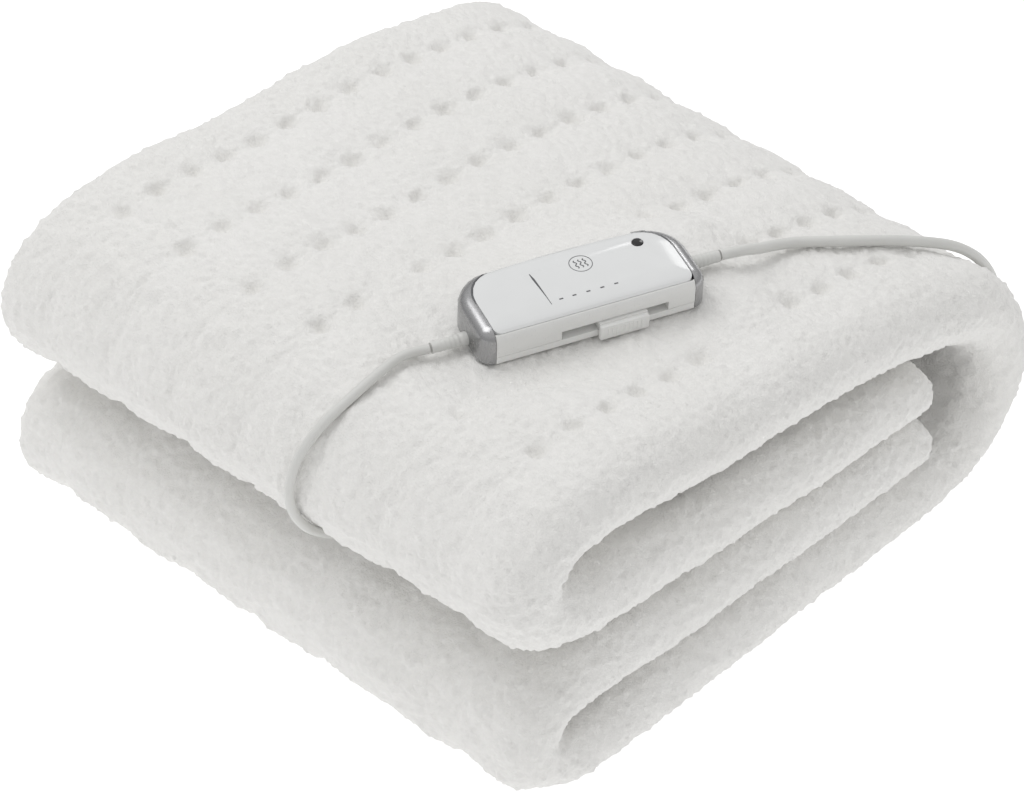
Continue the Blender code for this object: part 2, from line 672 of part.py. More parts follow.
def make_plug(group, material):
    """A flat two-pin plug with its sleeve, and the two round pins."""
    middle = PLUG_THICKNESS / 2
    face = PLUG_X - PLUG_SLEEVE_LENGTH - PLUG_BODY_LENGTH
    rings = []
    for back, half_width, half_thick in PLUG_STAGES:
        ring = []
        for k in range(PLUG_SIDES):
            angle = 2 * math.pi * k / PLUG_SIDES
            wide, high = math.cos(angle), math.sin(angle)
            flat = 1 / max(abs(high), PLUG_FLATNESS + (1 - PLUG_FLATNESS) * abs(high))
            ring.append((PLUG_X - back, PLUG_Y + half_width * wide,
                         middle + half_thick * max(-1, min(1, high * flat))))
        rings.append(ring[::-1])
    body = loft("plug_body", rings, group, material)
    pins = []
    for side, name in ((-1, "plug_pin_1"), (1, "plug_pin_2")):
        bpy.ops.mesh.primitive_cylinder_add(vertices=PIN_SIDES, radius=PIN_RADIUS, depth=PIN_LENGTH)
        pin = bpy.context.object
        pin.name = name
        pin.rotation_euler = (0.0, math.pi / 2, 0.0)
        pin.location = (face - GAP - PIN_LENGTH / 2, PLUG_Y + side * PIN_SPACING / 2, middle)
        pin.data.materials.append(finish_material(name, PLATED_PIN, 0.25, 1.0))
        move_to(pin, group)
        pins.append(pin)
    return [body] + pins


def make_leads(group, frame):
    grey = finish_material("lead_grey", LEAD_GREY, 0.45)
    make_relief("mains_relief", 1, MAINS_EXIT_Y, MAINS_RADIUS, frame, group, grey)
    make_relief("blanket_relief", -1, BLANKET_EXIT_Y, BLANKET_LEAD_RADIUS, frame, group, grey)
    lead_tube("mains_lead", MAINS_ROUTE, MAINS_RADIUS, group, grey)
    lead_tube("blanket_lead", BLANKET_LEAD_ROUTE, BLANKET_LEAD_RADIUS, group, grey)
    make_coil(group, grey)
    lead_tube("mains_lead_out", LEAD_OUT_ROUTE, MAINS_RADIUS, group, grey)
    make_plug(group, grey)


clear_scene()
parts = new_collection("heated_blanket")
cutters = new_collection("cutters")
handset_frame = handset_matrix()
make_blanket(parts)
make_handset(parts, cutters, handset_frame)
make_switch(parts, cutters, handset_frame)
make_leads(parts, handset_frame)
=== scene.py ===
import math

import bmesh
import bpy
from mathutils import Matrix, Vector, kdtree, noise
from mathutils.bvhtree import BVHTree


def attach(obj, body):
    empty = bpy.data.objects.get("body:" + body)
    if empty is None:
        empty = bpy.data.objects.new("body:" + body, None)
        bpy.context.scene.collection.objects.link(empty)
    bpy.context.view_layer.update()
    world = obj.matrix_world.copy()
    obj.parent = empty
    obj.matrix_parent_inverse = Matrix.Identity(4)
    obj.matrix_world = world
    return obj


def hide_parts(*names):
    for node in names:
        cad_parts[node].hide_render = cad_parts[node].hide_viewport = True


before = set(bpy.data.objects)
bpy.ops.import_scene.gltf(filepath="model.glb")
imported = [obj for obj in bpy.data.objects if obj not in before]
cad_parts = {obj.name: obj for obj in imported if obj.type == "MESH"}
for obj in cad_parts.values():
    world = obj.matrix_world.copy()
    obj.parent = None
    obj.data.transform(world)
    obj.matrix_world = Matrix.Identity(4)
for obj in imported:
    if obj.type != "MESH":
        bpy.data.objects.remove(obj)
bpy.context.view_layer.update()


VIEW_AZIMUTH = math.radians(43.157)
VIEW_ELEVATION = math.radians(39.033)
VIEW_DISTANCE = 2.082
VIEW_CENTRE = Vector((0.0, 0.0, 0.070))
LENS = 129.19                  # mm, on a 36 mm sensor
PICTURE = (1024, 794)
CENTRE_PIXEL = (525.45, 383.96)      # where the view's centre falls in the picture

scene = bpy.context.scene
toward_eye = Vector((math.sin(VIEW_AZIMUTH) * math.cos(VIEW_ELEVATION),
                     -math.cos(VIEW_AZIMUTH) * math.cos(VIEW_ELEVATION),
                     math.sin(VIEW_ELEVATION)))
camera = bpy.data.objects.new("camera", bpy.data.cameras.new("camera"))
camera.location = VIEW_CENTRE + toward_eye * VIEW_DISTANCE
camera.rotation_euler = toward_eye.to_track_quat("Z", "Y").to_euler()
camera.data.sensor_width = 36.0
camera.data.lens = LENS
camera.data.shift_x = (PICTURE[0] / 2 - CENTRE_PIXEL[0]) / PICTURE[0]
camera.data.shift_y = (CENTRE_PIXEL[1] - PICTURE[1] / 2) / PICTURE[0]
camera.data.clip_start = 0.05
scene.collection.objects.link(camera)
scene.camera = camera


# ---------------------------------------------------------------- the studio
# A seamless white floor under an even white room, with one broad soft lamp above and to the left, and
# a weak one opposite, as for a catalogue picture.
def linear(code):
    """An sRGB hex colour as linear red, green, blue and alpha."""
    channels = [int(code[k:k + 2], 16) / 255 for k in (0, 2, 4)]
    return (*[c / 12.92 if c <= 0.04045 else ((c + 0.055) / 1.055) ** 2.4 for c in channels], 1.0)


def add(tree, kind, settings=None, links=None):
    """A node with its settings or socket values, and with what feeds its sockets."""
    node = tree.nodes.new(kind)
    for key, value in (settings or {}).items():
        if isinstance(key, str) and hasattr(node, key):
            setattr(node, key, value)
        else:
            node.inputs[key].default_value = value
    for key, source in (links or {}).items():
        tree.links.new(source, node.inputs[key])
    return node


def material_of(name):
    """An empty material's tree and its Principled shader."""
    made = bpy.data.materials.new(name)
    made.use_nodes = True
    return made, made.node_tree, made.node_tree.nodes["Principled BSDF"]


def mesh_piece(name, points, faces, material):
    mesh = bpy.data.meshes.new(name)
    mesh.from_pydata([tuple(p) for p in points], [], faces)
    mesh.materials.append(material)
    piece = bpy.data.objects.new(name, mesh)
    scene.collection.objects.link(piece)
    return piece


FLOOR_HALF = 3.0
FLOOR_DROP = 0.0006            # the floor lies this far under the part, so the two never share a face
FLOOR_GLOW = 0.62              # the floor is lit from below too, so that shadows on it stay faint
ROOM_HIGH = 0.75               # the room's light from straight above, and from the horizon
ROOM_LOW = 0.42
LAMPS = (
    # name         place                   side   power (W)
    ("key lamp",   (-1.00, -0.45, 2.40),   1.50,  16.5),
    ("edge lamp",  (-0.60, 1.60, 1.60),    0.50,  3.0),
)

# Uncoated studio paper: matt and even, with no sheen.
floor_paper, tree, shader = material_of("matt white floor paper")
shader.inputs["Base Color"].default_value = linear("D2D2D2")
shader.inputs["Emission Color"].default_value = (1.0, 1.0, 1.0, 1.0)
shader.inputs["Emission Strength"].default_value = FLOOR_GLOW
shader.inputs["Roughness"].default_value = 0.95
shader.inputs["Specular IOR Level"].default_value = 0.0
floor = mesh_piece("floor", [(x * FLOOR_HALF, y * FLOOR_HALF, -FLOOR_DROP)
                             for x, y in ((-1, -1), (1, -1), (1, 1), (-1, 1))], [(0, 1, 2, 3)], floor_paper)
for name, place, side, power in LAMPS:
    data = bpy.data.lights.new(name, "AREA")
    data.size = side
    data.energy = power
    lamp = bpy.data.objects.new(name, data)
    lamp.location = place
    lamp.rotation_euler = (Vector(place) - VIEW_CENTRE).to_track_quat("Z", "Y").to_euler()
    scene.collection.objects.link(lamp)
world = bpy.data.worlds.new("white room")
world.use_nodes = True
tree = world.node_tree
height = add(tree, "ShaderNodeSeparateXYZ", {}, {0: add(tree, "ShaderNodeTexCoord").outputs["Generated"]})
level = add(tree, "ShaderNodeMapRange", {"From Max": 0.6, "To Min": ROOM_LOW, "To Max": ROOM_HIGH},
            {"Value": height.outputs["Z"]})
tree.nodes["Background"].inputs["Color"].default_value = (1.0, 1.0, 1.0, 1.0)
tree.links.new(level.outputs["Result"], tree.nodes["Background"].inputs["Strength"])
scene.world = world
scene.view_settings.view_transform = "Standard"


# ---------------------------------------------------------------- the mains lead
# A round PVC-sheathed lead from the handset, over the blanket's back, down to the floor and wound up
# there in two flat layers.  It is one long tube, and its last stretch goes into the plug's sleeve.
MAINS_DIAMETER = 0.0062
MAINS_ROUTE = (
    (0.1096, 0.0351, 0.1986), (0.1126, 0.0422, 0.1983), (0.1148, 0.0500, 0.1967), (0.1151, 0.0600, 0.1922),
    (0.1142, 0.0705, 0.1874), (0.1146, 0.0812, 0.1833), (0.1173, 0.0920, 0.1802), (0.1230, 0.1022, 0.1779),
    (0.1295, 0.1145, 0.1748), (0.1360, 0.1290, 0.1706), (0.1420, 0.1435, 0.1658), (0.1472, 0.1570, 0.1606),
    (0.1515, 0.1690, 0.1553), (0.1553, 0.1810, 0.1489), (0.1585, 0.1925, 0.1404), (0.1608, 0.2040, 0.1285),
    (0.1620, 0.2142, 0.1130), (0.1622, 0.2208, 0.0945), (0.1610, 0.2236, 0.0750), (0.1582, 0.2246, 0.0565),
    (0.1525, 0.2252, 0.0395), (0.1430, 0.2256, 0.0248), (0.1295, 0.2257, 0.0133), (0.1125, 0.2254, 0.0064),
    (0.0935, 0.2248, 0.0036), (0.0730, 0.2241, 0.0034), (0.0520, 0.2234, 0.0034), (0.0300, 0.2226, 0.0034),
    (0.0077, 0.2218, 0.0034),
)
LEAD_OUT_ROUTE = (
    (-0.0377, 0.2218, 0.0094), (-0.0450, 0.2218, 0.0088), (-0.0540, 0.2218, 0.0075), (-0.0636, 0.2218, 0.0069),
)
COIL_CENTRE = (-0.0150, 0.2620)
COIL_OUTER_RADIUS = 0.0402     # of the outermost turn's middle
COIL_TURNS = 5                 # half of them in each layer
COIL_CLIMB = 0.9               # turns over which it climbs to the upper layer
COIL_LOW = 0.0033
POINTS_A_TURN = 36
LEAD_SIDE_RESOLUTION = 4


def smooth_route(route, step):
    """Points every `step` metres on a smooth curve through a route's own points."""
    route = [Vector(p) for p in route]
    ends = [2 * route[0] - route[1]] + route + [2 * route[-1] - route[-2]]
    fine = [route[0]]
    for a, b, c, d in zip(ends, ends[1:], ends[2:], ends[3:]):
        count = max(2, math.ceil((c - b).length / step))
        for k in range(1, count + 1):
            t = k / count
            fine.append(0.5 * (2 * b + (c - a) * t + (2 * a - 5 * b + 4 * c - d) * t * t
                               + (3 * b - a - 3 * c + d) * t ** 3))
    return fine


def eased(t):
    t = min(max(t, 0.0), 1.0)
    return t * t * (3 - 2 * t)


def coil_points():
    """A spiral inwards on the floor that climbs and winds outwards again on top of itself."""
    points = []
    half = COIL_TURNS / 2
    for k in range(COIL_TURNS * POINTS_A_TURN + 1):
        turn = k / POINTS_A_TURN
        radius = COIL_OUTER_RADIUS - MAINS_DIAMETER * (half - abs(turn - half))
        angle = -math.pi / 2 - 2 * math.pi * turn
        height = COIL_LOW + MAINS_DIAMETER * eased((turn - half) / COIL_CLIMB + 0.5)
        points.append(Vector((COIL_CENTRE[0] + radius * math.cos(angle),
                              COIL_CENTRE[1] + radius * math.sin(angle), height)))
    return points


def lead_piece(name, points, diameter, material):
    curve = bpy.data.curves.new(name, "CURVE")
    curve.dimensions = "3D"
    curve.bevel_depth = diameter / 2
    curve.bevel_resolution = LEAD_SIDE_RESOLUTION
    curve.use_fill_caps = True
    spline = curve.splines.new("POLY")
    spline.points.add(len(points) - 1)
    for there, point in zip(spline.points, points):
        there.co = (*point, 1.0)
    curve.materials.append(material)
    piece = bpy.data.objects.new(name, curve)
    scene.collection.objects.link(piece)
    return piece


# Extruded PVC, pale warm grey: a soft gloss, dulled by very fine draw marks and handling.
pvc_sheath, tree, shader = material_of("extruded pale grey PVC")
place = add(tree, "ShaderNodeTexCoord").outputs["Object"]
mottle = add(tree, "ShaderNodeTexNoise", {"Scale": 90.0, "Detail": 3.0}, {"Vector": place})
tone = add(tree, "ShaderNodeMix", {"data_type": "RGBA", 6: linear("CFCFCC"), 7: linear("D8D8D5")},
           {0: mottle.outputs["Fac"]})
tree.links.new(tone.outputs[2], shader.inputs["Base Color"])
dull = add(tree, "ShaderNodeMapRange", {"To Min": 0.38, "To Max": 0.52}, {"Value": mottle.outputs["Fac"]})
tree.links.new(dull.outputs["Result"], shader.inputs["Roughness"])
skin = add(tree, "ShaderNodeTexNoise", {"Scale": 1600.0, "Detail": 2.0}, {"Vector": place})
rough = add(tree, "ShaderNodeBump", {"Strength": 0.15, "Distance": 0.0001}, {"Height": skin.outputs["Fac"]})
tree.links.new(rough.outputs["Normal"], shader.inputs["Normal"])
shader.inputs["IOR"].default_value = 1.53

ROUTE_STEP = 0.005
mains_points = smooth_route(MAINS_ROUTE, ROUTE_STEP) + coil_points()
mains_points += smooth_route(LEAD_OUT_ROUTE, ROUTE_STEP)
mains_lead = lead_piece("mains_lead_wound", mains_points, MAINS_DIAMETER, pvc_sheath)


# ---------------------------------------------------------------- plug and pins
# A flat two-pin moulded plug in the lead's own grey, with plated brass pins.  Both keep the packed
# model's shape, with their edges rounded.
SAME_POINT = 0.00001
FLAT_ENOUGH = math.radians(0.8)


def copy_of(node, name, material):
    """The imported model's mesh as a piece of the scene, its loose triangles joined."""
    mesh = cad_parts[node].data.copy()
    mesh.name = name
    shape = bmesh.new()
    shape.from_mesh(mesh)
    bmesh.ops.remove_doubles(shape, verts=shape.verts, dist=SAME_POINT)
    bmesh.ops.dissolve_limit(shape, angle_limit=FLAT_ENOUGH, verts=shape.verts, edges=shape.edges)
    shape.to_mesh(mesh)
    shape.free()
    mesh.materials.clear()
    mesh.materials.append(material)
    piece = bpy.data.objects.new(name, mesh)
    scene.collection.objects.link(piece)
    return piece


def keep_modified(piece):
    """The piece's modifiers made part of its mesh."""
    seen = piece.evaluated_get(bpy.context.evaluated_depsgraph_get())
    mesh = bpy.data.meshes.new_from_object(seen)
    piece.modifiers.clear()
    piece.data = mesh


def round_edges(piece, width, segments=3, angle=38.0, smooth=42.0):
    bevel = piece.modifiers.new("rounded edges", "BEVEL")
    bevel.width = width
    bevel.segments = segments
    bevel.limit_method = "ANGLE"
    bevel.angle_limit = math.radians(angle)
    bevel.use_clamp_overlap = True
    keep_modified(piece)
    piece.data.shade_smooth()
    piece.data.set_sharp_from_angle(angle=math.radians(smooth))
    return piece


def finish_piece(piece, slot, *nodes, body="root"):
    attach(piece, body)
    if nodes:
        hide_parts(*nodes)


# Nickel-plated brass: bright, with fine turning marks round the pin.
plated_brass, tree, shader = material_of("nickel-plated brass")
place = add(tree, "ShaderNodeTexCoord").outputs["Object"]
marks = add(tree, "ShaderNodeTexNoise", {"Scale": 2500.0, "Detail": 2.0}, {"Vector": place})
polish = add(tree, "ShaderNodeMapRange", {"To Min": 0.16, "To Max": 0.30}, {"Value": marks.outputs["Fac"]})
tree.links.new(polish.outputs["Result"], shader.inputs["Roughness"])
shader.inputs["Base Color"].default_value = linear("D8D6D0")
shader.inputs["Metallic"].default_value = 1.0

PLUG_EDGE = 0.0006
PIN_EDGE = 0.0007
plug = round_edges(copy_of("plug_body", "moulded_plug", pvc_sheath), PLUG_EDGE, angle=30.0, smooth=50.0)
finish_piece(plug, "plug", "plug_body")
for number in (1, 2):
    pin = copy_of(f"plug_pin_{number}", f"round_pin_{number}", plated_brass)
    round_edges(pin, PIN_EDGE, angle=60.0)
    finish_piece(pin, "pins", f"plug_pin_{number}")
finish_piece(mains_lead, "leads", "mains_lead", "mains_coil", "mains_lead_out")


# ---------------------------------------------------------------- the blanket's own lead
# The thinner lead from the handset's other end.  It runs over the front edge and goes in between the
# folded layers, where it joins the heating pad.
BLANKET_LEAD_DIAMETER = 0.0055
BLANKET_LEAD_ROUTE = (
    (0.0502, -0.1268, 0.1964), (0.0480, -0.1324, 0.1968), (0.0472, -0.1410, 0.1990), (0.0484, -0.1515, 0.2010),
    (0.0497, -0.1620, 0.2012), (0.0495, -0.1725, 0.1990), (0.0478, -0.1830, 0.1944), (0.0456, -0.1940, 0.1887),
    (0.0431, -0.2050, 0.1803), (0.0405, -0.2125, 0.1698), (0.0392, -0.2170, 0.1587), (0.0390, -0.2190, 0.1470),
    (0.0398, -0.2174, 0.1352), (0.0408, -0.2117, 0.1238), (0.0417, -0.2024, 0.1136), (0.0424, -0.1895, 0.1050),
    (0.0428, -0.1740, 0.0990), (0.0430, -0.1560, 0.0959), (0.0430, -0.1390, 0.0945),
)
blanket_points = smooth_route(BLANKET_LEAD_ROUTE, ROUTE_STEP)
blanket_lead = lead_piece("blanket_lead_run", blanket_points, BLANKET_LEAD_DIAMETER, pvc_sheath)
finish_piece(blanket_lead, "leads", "blanket_lead")


# ---------------------------------------------------------------- the handset's housing
# A slim ABS slide-switch handset, lying on the blanket: a base, a cover with a gloss panel let into
# it, and plated caps at both ends.  x' runs along it, y' across it from the switch, z' up.
HANDSET_PLACE = (0.0786, -0.0452, 0.1922)
HANDSET_YAW = math.radians(22.8)
HANDSET_PITCH = math.radians(0.5)
HANDSET_ROLL = math.radians(5.0)
HANDSET_LENGTH = 0.130
HOUSING_EDGE = 0.0005
CAP_EDGE = 0.0007
PANEL_EDGE = 0.0004
LENS_EDGE = 0.0003


def handset_matrix():
    along = Vector((math.sin(HANDSET_YAW) * math.cos(HANDSET_PITCH),
                    math.cos(HANDSET_YAW) * math.cos(HANDSET_PITCH), math.sin(HANDSET_PITCH)))
    across = Vector((-math.cos(HANDSET_YAW), math.sin(HANDSET_YAW), 0.0))
    across = (across - along * along.dot(across)).normalized()
    up = along.cross(across)
    lean, rise = math.cos(HANDSET_ROLL), math.sin(HANDSET_ROLL)
    matrix = Matrix((along, across * lean + up * rise, up * lean - across * rise)).transposed().to_4x4()
    return Matrix.Translation(HANDSET_PLACE) @ matrix


def moulded(name, colour, low, high, grain=900.0, depth=0.00006):
    """Injection-moulded ABS: an even colour with a faint flow mottle and a fine skin."""
    made, tree, shader = material_of(name)
    place = add(tree, "ShaderNodeTexCoord").outputs["Object"]
    flow = add(tree, "ShaderNodeTexNoise", {"Scale": 60.0, "Detail": 2.0}, {"Vector": place})
    shade = add(tree, "ShaderNodeHueSaturation", {"Color": linear(colour)})
    value = add(tree, "ShaderNodeMapRange", {"To Min": 0.97, "To Max": 1.02}, {"Value": flow.outputs["Fac"]})
    tree.links.new(value.outputs["Result"], shade.inputs["Value"])
    tree.links.new(shade.outputs["Color"], shader.inputs["Base Color"])
    skin = add(tree, "ShaderNodeTexNoise", {"Scale": grain, "Detail": 3.0}, {"Vector": place})
    gloss = add(tree, "ShaderNodeMapRange", {"To Min": low, "To Max": high}, {"Value": skin.outputs["Fac"]})
    tree.links.new(gloss.outputs["Result"], shader.inputs["Roughness"])
    bump = add(tree, "ShaderNodeBump", {"Strength": 0.25, "Distance": depth}, {"Height": skin.outputs["Fac"]})
    tree.links.new(bump.outputs["Normal"], shader.inputs["Normal"])
    shader.inputs["IOR"].default_value = 1.54
    return made


white_abs = moulded("white gloss ABS", "E4E4E2", 0.24, 0.34)
panel_abs = moulded("white high-gloss ABS panel", "E0E1E1", 0.12, 0.20, grain=400.0, depth=0.00002)
switch_abs = moulded("white satin ABS", "E6E6E4", 0.40, 0.50)
lens_smoke = moulded("smoked acrylic", "1C1C1E", 0.06, 0.12)

# Chrome-plated ABS with a satin strike: bright, slightly streaked by the brush along the cap.
satin_chrome, tree, shader = material_of("satin chrome plate")
place = add(tree, "ShaderNodeTexCoord").outputs["Object"]
drawn_out = add(tree, "ShaderNodeMapping", {"Scale": (1.0, 1.0, 0.15)}, {"Vector": place})
brushed = add(tree, "ShaderNodeTexNoise", {"Scale": 700.0, "Detail": 3.0}, {"Vector": drawn_out.outputs[0]})
glint = add(tree, "ShaderNodeMapRange", {"To Min": 0.20, "To Max": 0.36}, {"Value": brushed.outputs["Fac"]})
tree.links.new(glint.outputs["Result"], shader.inputs["Roughness"])
# The base colour is darker than chrome's own: painted shade, standing in for the dark surroundings the caps
# would reflect.
shader.inputs["Base Color"].default_value = linear("A8A8A9")
shader.inputs["Metallic"].default_value = 1.0

from_handset = handset_matrix()
to_handset = from_handset.inverted()
base = round_edges(copy_of("handset_base", "housing_base", white_abs), HOUSING_EDGE)
cover = round_edges(copy_of("handset_cover", "housing_cover", white_abs), HOUSING_EDGE)
panel = round_edges(copy_of("top_panel", "gloss_panel", panel_abs), PANEL_EDGE)
lens = round_edges(copy_of("indicator_lens", "lamp_lens", lens_smoke), LENS_EDGE)
finish_piece(base, "housing", "handset_base")
finish_piece(cover, "housing", "handset_cover")
finish_piece(panel, "panel", "top_panel")
finish_piece(lens, "lens", "indicator_lens")
caps = []
for side in ("left", "right"):
    cap = round_edges(copy_of(f"end_cap_{side}", f"plated_cap_{side}", satin_chrome), CAP_EDGE)
    finish_piece(cap, "end_caps", f"end_cap_{side}")
    caps.append(cap)


# ---------------------------------------------------------------- printed marks, and painted shadow in the joints
# Five setting dashes, a level wedge and a plain heat symbol are pad-printed on the panel.  The joints between
# panel and caps get painted shadow: a dark line of the same ink where their narrow gaps lie in shade.  Each is
# a thin film laid on what carries it.
INK_LIFT = 0.00008
INK_SUNK = 0.00012
JOINT_REACH = 0.0006
CAST_HEIGHT = 0.05
DASH_PLACES = (-0.0150, -0.0075, 0.0005, 0.0085, 0.0165)
DASH_ROW = -0.0130
DASH_HALF_LENGTH = 0.0011
DASH_WIDTH = 0.0008
SYMBOL_PLACE = (0.0057, 0.0081)
SYMBOL_RADIUS = 0.0062
SYMBOL_LINE = 0.00038
WAVE_SPACING = 0.0026
WAVE_HEIGHT = 0.0032
WAVE_SWING = 0.0006
LEVEL_WEDGE = [(-0.0228, 0.0105, 0.0004), (-0.0224, 0.0060, 0.0012), (-0.0220, 0.0000, 0.0009),
               (-0.0216, -0.0080, 0.0005), (-0.0213, -0.0150, 0.0003)]
CORNER_CENTRE = (0.0367, 0.0017)     # of the panel's back corners
CORNER_RADIUS = 0.0208

# Pad-printing ink: a thin matt grey film that covers a little unevenly.  The same ink is the painted shadow in
# the handset's joints.
ink_and_joint_shade, tree, shader = material_of("grey print ink and painted joint shade")
place = add(tree, "ShaderNodeTexCoord").outputs["Object"]
speckle = add(tree, "ShaderNodeTexNoise", {"Scale": 1500.0, "Detail": 2.0}, {"Vector": place})
cover_tone = add(tree, "ShaderNodeMix", {"data_type": "RGBA", 6: linear("4E4F50"), 7: linear("66676A")},
                 {0: speckle.outputs["Fac"]})
tree.links.new(cover_tone.outputs[2], shader.inputs["Base Color"])
shader.inputs["Roughness"].default_value = 0.55

shell = bmesh.new()
for piece in (cover, panel, *caps):
    shell.from_mesh(piece.data)
shell_tree = BVHTree.FromBMesh(shell)
shell.free()
handset_down = -(from_handset.to_3x3() @ Vector((0.0, 0.0, 1.0)))


def on_handset(x, y):
    """The handset's upper surface at one point of its own frame, bridging the joints' narrow gaps."""
    heights = []
    for way_x, way_y in ((0, 0), (1, 0), (-1, 0), (0, 1), (0, -1)):
        above = from_handset @ Vector((x + way_x * JOINT_REACH, y + way_y * JOINT_REACH, CAST_HEIGHT))
        hit = shell_tree.ray_cast(above, handset_down)[0]
        if hit is not None:
            heights.append((to_handset @ hit).z)
    return from_handset @ Vector((x, y, max(heights)))


def printed(name, strokes, material):
    """Strokes of ink as one thin film; each is a list of (x', y', width)."""
    points, faces = [], []
    for stroke in strokes:
        first = len(points)
        for k, (x, y, width) in enumerate(stroke):
            before, after = stroke[max(k - 1, 0)], stroke[min(k + 1, len(stroke) - 1)]
            run = Vector((after[0] - before[0], after[1] - before[1])).normalized() * width / 2
            for side_x, side_y in ((x - run.y, y + run.x), (x + run.y, y - run.x)):
                there = on_handset(side_x, side_y)
                points += [there - handset_down * INK_LIFT, there + handset_down * INK_SUNK]
        for k in range(len(stroke) - 1):
            a, b = first + 4 * k, first + 4 * k + 4
            faces += [(a, a + 2, b + 2, b), (a + 2, a + 3, b + 3, b + 2), (a + 3, a + 1, b + 1, b + 3),
                      (a + 1, a, b, b + 1)]
        last = len(points) - 4
        faces += [(first, first + 1, first + 3, first + 2), (last, last + 2, last + 3, last + 1)]
    piece = mesh_piece(name, points, faces, material)
    solid = bmesh.new()
    solid.from_mesh(piece.data)
    bmesh.ops.recalc_face_normals(solid, faces=solid.faces)
    solid.to_mesh(piece.data)
    solid.free()
    return piece


def arc(centre, radius, first, last, count, width):
    steps = [math.radians(first + (last - first) * k / count) for k in range(count + 1)]
    return [(centre[0] + radius * math.cos(a), centre[1] + radius * math.sin(a), width) for a in steps]


def swelling(stroke, least):
    """The same stroke, thinner towards both ends."""
    count = len(stroke) - 1
    return [(x, y, least + (w - least) * math.sin(math.pi * k / count)) for k, (x, y, w) in enumerate(stroke)]


strokes = [[(x - DASH_HALF_LENGTH, DASH_ROW, DASH_WIDTH), (x + DASH_HALF_LENGTH, DASH_ROW, DASH_WIDTH)]
           for x in DASH_PLACES]
strokes.append(arc(SYMBOL_PLACE, SYMBOL_RADIUS, 0, 360, 40, SYMBOL_LINE))
for column in (-1, 0, 1):
    strokes.append([(SYMBOL_PLACE[0] + column * WAVE_SPACING + WAVE_SWING * math.sin(math.pi * t / 4),
                     SYMBOL_PLACE[1] + WAVE_HEIGHT * t / 8, SYMBOL_LINE * 1.5) for t in range(-8, 9)])
strokes.append(LEVEL_WEDGE)
finish_piece(printed("panel_print", strokes, ink_and_joint_shade), "panel")

# Painted shadow: dark ink strokes laid over the joints, where the narrow gaps lie in shade.
joints = [swelling(arc((-CORNER_CENTRE[0], CORNER_CENTRE[1]), CORNER_RADIUS, 112, 184, 14, 0.0011), 0.0003),
          swelling(arc(CORNER_CENTRE, CORNER_RADIUS, 4, 40, 8, 0.0007), 0.0002),
          swelling(arc((0.0400, 0.0030), 0.0196, 62, 86, 8, 0.0009), 0.0002)]
finish_piece(printed("joint_shadows", joints, ink_and_joint_shade), "housing")


# ---------------------------------------------------------------- strain reliefs
# Soft PVC sleeves, moulded on where each lead leaves its end cap: a tapered cone with flexing ribs.
RELIEF_LENGTH = 0.020
RELIEF_SEAT = 0.0025
RELIEF_HEIGHT = 0.0054
RELIEF_SPREAD = 0.0010         # its wall where it is thickest, and at its tip
TIP_SPREAD = 0.0003
COLLAR = 0.002                 # plain before the ribs begin
RELIEF_RIBS = 6
RIB_DEPTH = 0.0004
RELIEF_SIDES = 24
RELIEFS = (
    # node              side  across    lead's diameter
    ("mains_relief",    1,    0.0030,   MAINS_DIAMETER),
    ("blanket_relief",  -1,   -0.0050,  BLANKET_LEAD_DIAMETER),
)


def turned(name, profile, sides, material, place):
    """A profile of (height, radius) points turned round the axis x of `place`, closed at both ends."""
    points = []
    for height, radius in profile:
        for k in range(sides):
            angle = 2 * math.pi * k / sides
            points.append(place @ Vector((height, radius * math.cos(angle), radius * math.sin(angle))))
    faces = []
    for ring in range(len(profile) - 1):
        for k in range(sides):
            a, b = ring * sides + k, ring * sides + (k + 1) % sides
            faces.append((a, b, b + sides, a + sides))
    faces.append(tuple(reversed(range(sides))))
    faces.append(tuple(range((len(profile) - 1) * sides, len(profile) * sides)))
    piece = mesh_piece(name, points, faces, material)
    shape = bmesh.new()
    shape.from_mesh(piece.data)
    bmesh.ops.recalc_face_normals(shape, faces=shape.faces)
    shape.to_mesh(piece.data)
    shape.free()
    piece.data.shade_smooth()
    piece.data.set_sharp_from_angle(angle=math.radians(50))
    return piece


for node, side, across, diameter in RELIEFS:
    face = HANDSET_LENGTH / 2
    root, tip = diameter / 2 + RELIEF_SPREAD, diameter / 2 + TIP_SPREAD
    profile = [(side * (face - RELIEF_SEAT), root), (side * (face + COLLAR), root)]
    first, last = face + COLLAR + 0.001, face + RELIEF_LENGTH - 0.002
    for k in range(RELIEF_RIBS * 4 + 1):
        share = k / (RELIEF_RIBS * 4)
        dip = RIB_DEPTH * (0.5 - 0.5 * math.cos(share * RELIEF_RIBS * 2 * math.pi))
        radius = root + (tip - root) * share - dip * (1 - share / 2)
        profile.append((side * (first + (last - first) * share), radius))
    profile.append((side * (face + RELIEF_LENGTH), tip))
    place = from_handset @ Matrix.Translation((0.0, across, RELIEF_HEIGHT))
    finish_piece(turned(f"{node}_ribbed", profile, RELIEF_SIDES, pvc_sheath, place), "leads", node)


# ---------------------------------------------------------------- the slide switch
# The satin ABS thumb piece in the handset's front side, with moulded grip ribs.  It rides on the
# slider body.
THUMB_LEFT = 0.0005
THUMB_RIGHT = 0.0290
THUMB_FACE = -0.0300           # its outer face, across the handset
THUMB_MIDDLE = 0.0060          # of its height
RIB_COUNT = 9
RIB_PITCH = 0.0024
RIB_SIZE = (0.0009, 0.0008, 0.0058)
THUMB_EDGE = 0.0006
RIB_EDGE = 0.0003

thumb = round_edges(copy_of("switch_slider", "thumb_slider", switch_abs), THUMB_EDGE)
finish_piece(thumb, "switch", "switch_slider", body="slider")

